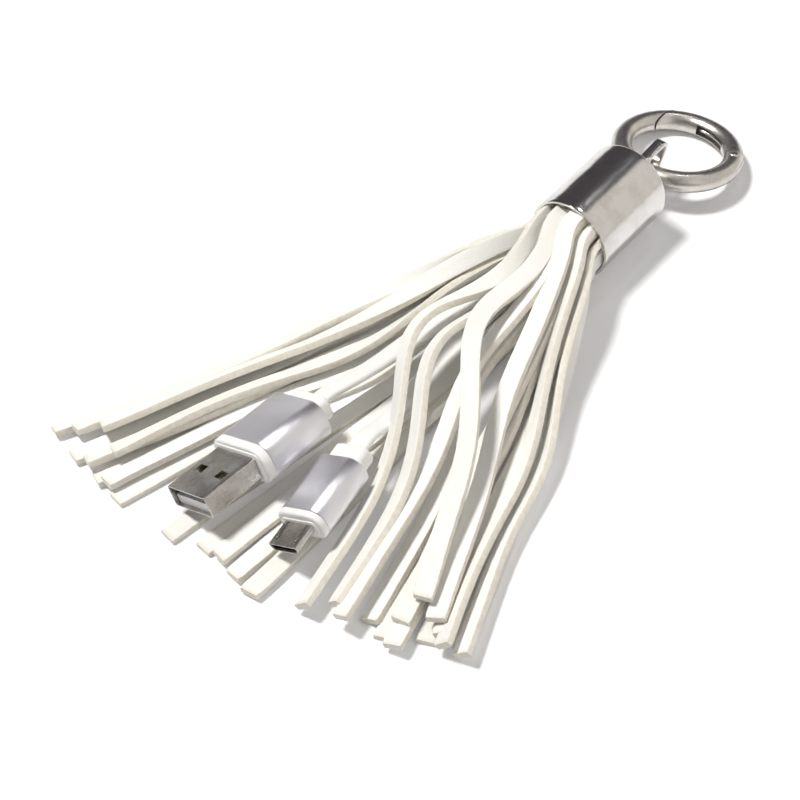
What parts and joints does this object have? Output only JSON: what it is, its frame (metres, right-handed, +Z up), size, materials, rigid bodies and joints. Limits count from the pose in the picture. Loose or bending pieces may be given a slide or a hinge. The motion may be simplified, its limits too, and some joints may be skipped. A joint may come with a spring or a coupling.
{
  "type": "keychain usb cable",
  "caption": "Leather tassel key chain: a metal cap with a spring-gate key ring holds a rolled, fringed strip and a folded flat charging cable with plugs at both ends.",
  "frame": {"origin": "centre of the object's box on the table it lies on, the cable legs and their plugs left out", "axes": "+Y from the fringe's tips towards the key ring, +Z up from the table, +X to the right seen from the tips"},
  "size_m": [0.0933, 0.1525, 0.018],
  "materials": {
    "cap_metal": "polished plating with fine pits",
    "ring_metal": "slightly dull nickel plating",
    "spring_steel": "bright spring steel",
    "leather": "smooth off-white leather with cut edges",
    "cable_jacket": "smooth satin white jacket",
    "shell_steel": "nickel-plated pressed steel",
    "white_plastic": "moulded white plastic",
    "black_plastic": "moulded black plastic",
    "contact_metal": "gold-plated contacts",
    "white_moulding": "satin white moulding",
    "sleeve_aluminium": "satin anodised aluminium"
  },
  "bodies": {
    "tassel": {"cap": "cap_metal", "loop": "cap_metal", "fringe": "leather", "cable_usb_a": "cable_jacket", "cable_micro": "cable_jacket", "usb_a_shell": "shell_steel", "usb_a_insulator": "white_plastic", "usb_a_contacts": "contact_metal", "usb_a_mould": "white_moulding", "usb_a_sleeve": "sleeve_aluminium", "micro_shell": "shell_steel", "micro_insulator": "black_plastic", "micro_contacts": "contact_metal", "micro_latches": "spring_steel", "micro_mould": "white_moulding", "micro_sleeve": "sleeve_aluminium"},
    "ring": {"ring_body": "ring_metal", "gate_pin": "ring_metal"},
    "gate": {"ring_gate": "ring_metal", "gate_spring": "spring_steel"}
  },
  "joints": [
    {"name": "ring_swing", "type": "hinge", "parent": "tassel", "child": "ring", "pos_m": [0.005, 0.0508, 0.00658], "axis": [0.9979, 0, 0.0645], "range_deg": [0, 95]},
    {"name": "gate_hinge", "type": "hinge", "parent": "ring", "child": "gate", "pos_m": [0.01611, 0.06675, 0.00437], "axis": [-0.0635, 0.1805, 0.9815], "range_deg": [0, 28], "stiffness_Nm_per_rad": 0.04, "springref_deg": -34.38}
  ]
}
